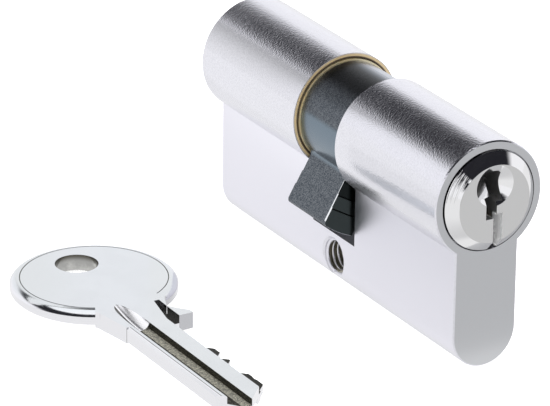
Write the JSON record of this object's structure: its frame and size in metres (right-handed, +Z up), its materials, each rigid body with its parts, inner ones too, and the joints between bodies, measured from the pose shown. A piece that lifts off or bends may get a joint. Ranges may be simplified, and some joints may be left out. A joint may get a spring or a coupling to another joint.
{
  "type": "profile cylinder lock with key",
  "caption": "Double-sided profile cylinder lock with a keyed plug at each end, a turning cam in its middle gap, and a flat cut key.",
  "frame": {"origin": "on the barrel's axis, halfway between the two end faces, above the fixing screw", "axes": "+Y along the barrel towards the inner plug, +Z up through the barrel's top, +X along the fixing screw"},
  "size_m": [0.0549, 0.065, 0.033],
  "materials": {
    "plated_body": "satin nickel plating over brass",
    "polished_plug": "polished nickel plating over brass",
    "key_nickel": "polished nickel plating over brass",
    "cam_steel": "sintered steel, dark blue-grey and speckled",
    "clutch_steel": "plain steel",
    "ring_brass": "bare bright brass",
    "pin_brass": "bare turned brass",
    "pin_steel": "turned steel",
    "spring_steel": "drawn spring wire"
  },
  "bodies": {
    "profile_body": {"cylinder_body": "plated_body", "outer_spring_1": "spring_steel", "outer_stopper_1": "pin_brass", "outer_spring_2": "spring_steel", "outer_stopper_2": "pin_brass", "outer_spring_3": "spring_steel", "outer_stopper_3": "pin_brass", "outer_spring_4": "spring_steel", "outer_stopper_4": "pin_brass", "outer_spring_5": "spring_steel", "outer_stopper_5": "pin_brass", "inner_spring_1": "spring_steel", "inner_stopper_1": "pin_brass", "inner_spring_2": "spring_steel", "inner_stopper_2": "pin_brass", "inner_spring_3": "spring_steel", "inner_stopper_3": "pin_brass", "inner_spring_4": "spring_steel", "inner_stopper_4": "pin_brass", "inner_spring_5": "spring_steel", "inner_stopper_5": "pin_brass"},
    "outer_plug": {"outer_plug": "polished_plug", "outer_retaining_ring": "ring_brass"},
    "inner_plug": {"inner_plug": "polished_plug", "inner_retaining_ring": "ring_brass"},
    "cam": {"cam": "cam_steel"},
    "outer_clutch": {"outer_clutch": "clutch_steel"},
    "inner_clutch": {"inner_clutch": "clutch_steel"},
    "key": {"key": "key_nickel"},
    "outer_key_pin_1": {"outer_key_pin_1": "pin_brass"},
    "outer_driver_pin_1": {"outer_driver_pin_1": "pin_steel"},
    "outer_key_pin_2": {"outer_key_pin_2": "pin_brass"},
    "outer_driver_pin_2": {"outer_driver_pin_2": "pin_steel"},
    "outer_key_pin_3": {"outer_key_pin_3": "pin_brass"},
    "outer_driver_pin_3": {"outer_driver_pin_3": "pin_steel"},
    "outer_key_pin_4": {"outer_key_pin_4": "pin_brass"},
    "outer_driver_pin_4": {"outer_driver_pin_4": "pin_steel"},
    "outer_key_pin_5": {"outer_key_pin_5": "pin_brass"},
    "outer_driver_pin_5": {"outer_driver_pin_5": "pin_steel"},
    "inner_key_pin_1": {"inner_key_pin_1": "pin_brass"},
    "inner_driver_pin_1": {"inner_driver_pin_1": "pin_steel"},
    "inner_key_pin_2": {"inner_key_pin_2": "pin_brass"},
    "inner_driver_pin_2": {"inner_driver_pin_2": "pin_steel"},
    "inner_key_pin_3": {"inner_key_pin_3": "pin_brass"},
    "inner_driver_pin_3": {"inner_driver_pin_3": "pin_steel"},
    "inner_key_pin_4": {"inner_key_pin_4": "pin_brass"},
    "inner_driver_pin_4": {"inner_driver_pin_4": "pin_steel"},
    "inner_key_pin_5": {"inner_key_pin_5": "pin_brass"},
    "inner_driver_pin_5": {"inner_driver_pin_5": "pin_steel"}
  },
  "joints": [
    {"name": "outer_plug_turn", "type": "hinge", "parent": "profile_body", "child": "outer_plug", "pos_m": [0, 0, 0], "axis": [0, -1, 0], "range_deg": [-360, 360]},
    {"name": "cam_turn", "type": "hinge", "parent": "profile_body", "child": "cam", "pos_m": [0, 0, 0], "axis": [0, -1, 0], "range_deg": [-360, 360]},
    {"name": "inner_plug_turn", "type": "hinge", "parent": "profile_body", "child": "inner_plug", "pos_m": [0, 0, 0], "axis": [0, 1, 0], "range_deg": [-360, 360]},
    {"name": "outer_clutch_slide", "type": "slide", "parent": "outer_plug", "child": "outer_clutch", "axis": [0, -1, 0], "range_m": [0, 0.0019]},
    {"name": "inner_clutch_slide", "type": "slide", "parent": "inner_plug", "child": "inner_clutch", "axis": [0, -1, 0], "range_m": [0, 0.0019]},
    {"name": "outer_key_pin_1_slide", "type": "slide", "parent": "outer_plug", "child": "outer_key_pin_1", "axis": [0, 0, 1], "range_m": [-0.0008, 0.0038]},
    {"name": "outer_driver_pin_1_slide", "type": "slide", "parent": "profile_body", "child": "outer_driver_pin_1", "axis": [0, 0, 1], "range_m": [-0.0008, 0.0038], "stiffness_N_per_m": 250, "deforming": ["outer_spring_1"]},
    {"name": "outer_key_pin_2_slide", "type": "slide", "parent": "outer_plug", "child": "outer_key_pin_2", "axis": [0, 0, 1], "range_m": [-0.0008, 0.0038]},
    {"name": "outer_driver_pin_2_slide", "type": "slide", "parent": "profile_body", "child": "outer_driver_pin_2", "axis": [0, 0, 1], "range_m": [-0.0008, 0.0038], "stiffness_N_per_m": 250, "deforming": ["outer_spring_2"]},
    {"name": "outer_key_pin_3_slide", "type": "slide", "parent": "outer_plug", "child": "outer_key_pin_3", "axis": [0, 0, 1], "range_m": [-0.0008, 0.0026]},
    {"name": "outer_driver_pin_3_slide", "type": "slide", "parent": "profile_body", "child": "outer_driver_pin_3", "axis": [0, 0, 1], "range_m": [-0.0008, 0.0026], "stiffness_N_per_m": 250, "deforming": ["outer_spring_3"]},
    {"name": "outer_key_pin_4_slide", "type": "slide", "parent": "outer_plug", "child": "outer_key_pin_4", "axis": [0, 0, 1], "range_m": [-0.0008, 0.0046]},
    {"name": "outer_driver_pin_4_slide", "type": "slide", "parent": "profile_body", "child": "outer_driver_pin_4", "axis": [0, 0, 1], "range_m": [-0.0008, 0.0046], "stiffness_N_per_m": 250, "deforming": ["outer_spring_4"]},
    {"name": "outer_key_pin_5_slide", "type": "slide", "parent": "outer_plug", "child": "outer_key_pin_5", "axis": [0, 0, 1], "range_m": [-0.0008, 0.0033]},
    {"name": "outer_driver_pin_5_slide", "type": "slide", "parent": "profile_body", "child": "outer_driver_pin_5", "axis": [0, 0, 1], "range_m": [-0.0008, 0.0033], "stiffness_N_per_m": 250, "deforming": ["outer_spring_5"]},
    {"name": "inner_key_pin_1_slide", "type": "slide", "parent": "inner_plug", "child": "inner_key_pin_1", "axis": [0, 0, 1], "range_m": [-0.0008, 0.0038]},
    {"name": "inner_driver_pin_1_slide", "type": "slide", "parent": "profile_body", "child": "inner_driver_pin_1", "axis": [0, 0, 1], "range_m": [-0.0008, 0.0038], "stiffness_N_per_m": 250, "deforming": ["inner_spring_1"]},
    {"name": "inner_key_pin_2_slide", "type": "slide", "parent": "inner_plug", "child": "inner_key_pin_2", "axis": [0, 0, 1], "range_m": [-0.0008, 0.0038]},
    {"name": "inner_driver_pin_2_slide", "type": "slide", "parent": "profile_body", "child": "inner_driver_pin_2", "axis": [0, 0, 1], "range_m": [-0.0008, 0.0038], "stiffness_N_per_m": 250, "deforming": ["inner_spring_2"]},
    {"name": "inner_key_pin_3_slide", "type": "slide", "parent": "inner_plug", "child": "inner_key_pin_3", "axis": [0, 0, 1], "range_m": [-0.0008, 0.0026]},
    {"name": "inner_driver_pin_3_slide", "type": "slide", "parent": "profile_body", "child": "inner_driver_pin_3", "axis": [0, 0, 1], "range_m": [-0.0008, 0.0026], "stiffness_N_per_m": 250, "deforming": ["inner_spring_3"]},
    {"name": "inner_key_pin_4_slide", "type": "slide", "parent": "inner_plug", "child": "inner_key_pin_4", "axis": [0, 0, 1], "range_m": [-0.0008, 0.0046]},
    {"name": "inner_driver_pin_4_slide", "type": "slide", "parent": "profile_body", "child": "inner_driver_pin_4", "axis": [0, 0, 1], "range_m": [-0.0008, 0.0046], "stiffness_N_per_m": 250, "deforming": ["inner_spring_4"]},
    {"name": "inner_key_pin_5_slide", "type": "slide", "parent": "inner_plug", "child": "inner_key_pin_5", "axis": [0, 0, 1], "range_m": [-0.0008, 0.0033]},
    {"name": "inner_driver_pin_5_slide", "type": "slide", "parent": "profile_body", "child": "inner_driver_pin_5", "axis": [0, 0, 1], "range_m": [-0.0008, 0.0033], "stiffness_N_per_m": 250, "deforming": ["inner_spring_5"]},
    {"name": "key_lift", "type": "slide", "parent": "profile_body", "child": "key", "axis": [0, 0, 1], "range_m": [0, 0.04]}
  ],
  "couplings": [
    {"joint": "cam_turn", "follows": "outer_plug_turn", "ratio": 1},
    {"joint": "inner_clutch_slide", "follows": "outer_clutch_slide", "ratio": 1},
    {"joint": "outer_driver_pin_1_slide", "follows": "outer_key_pin_1_slide", "ratio": 1},
    {"joint": "outer_driver_pin_2_slide", "follows": "outer_key_pin_2_slide", "ratio": 1},
    {"joint": "outer_driver_pin_3_slide", "follows": "outer_key_pin_3_slide", "ratio": 1},
    {"joint": "outer_driver_pin_4_slide", "follows": "outer_key_pin_4_slide", "ratio": 1},
    {"joint": "outer_driver_pin_5_slide", "follows": "outer_key_pin_5_slide", "ratio": 1},
    {"joint": "inner_driver_pin_1_slide", "follows": "inner_key_pin_1_slide", "ratio": 1},
    {"joint": "inner_driver_pin_2_slide", "follows": "inner_key_pin_2_slide", "ratio": 1},
    {"joint": "inner_driver_pin_3_slide", "follows": "inner_key_pin_3_slide", "ratio": 1},
    {"joint": "inner_driver_pin_4_slide", "follows": "inner_key_pin_4_slide", "ratio": 1},
    {"joint": "inner_driver_pin_5_slide", "follows": "inner_key_pin_5_slide", "ratio": 1}
  ]
}
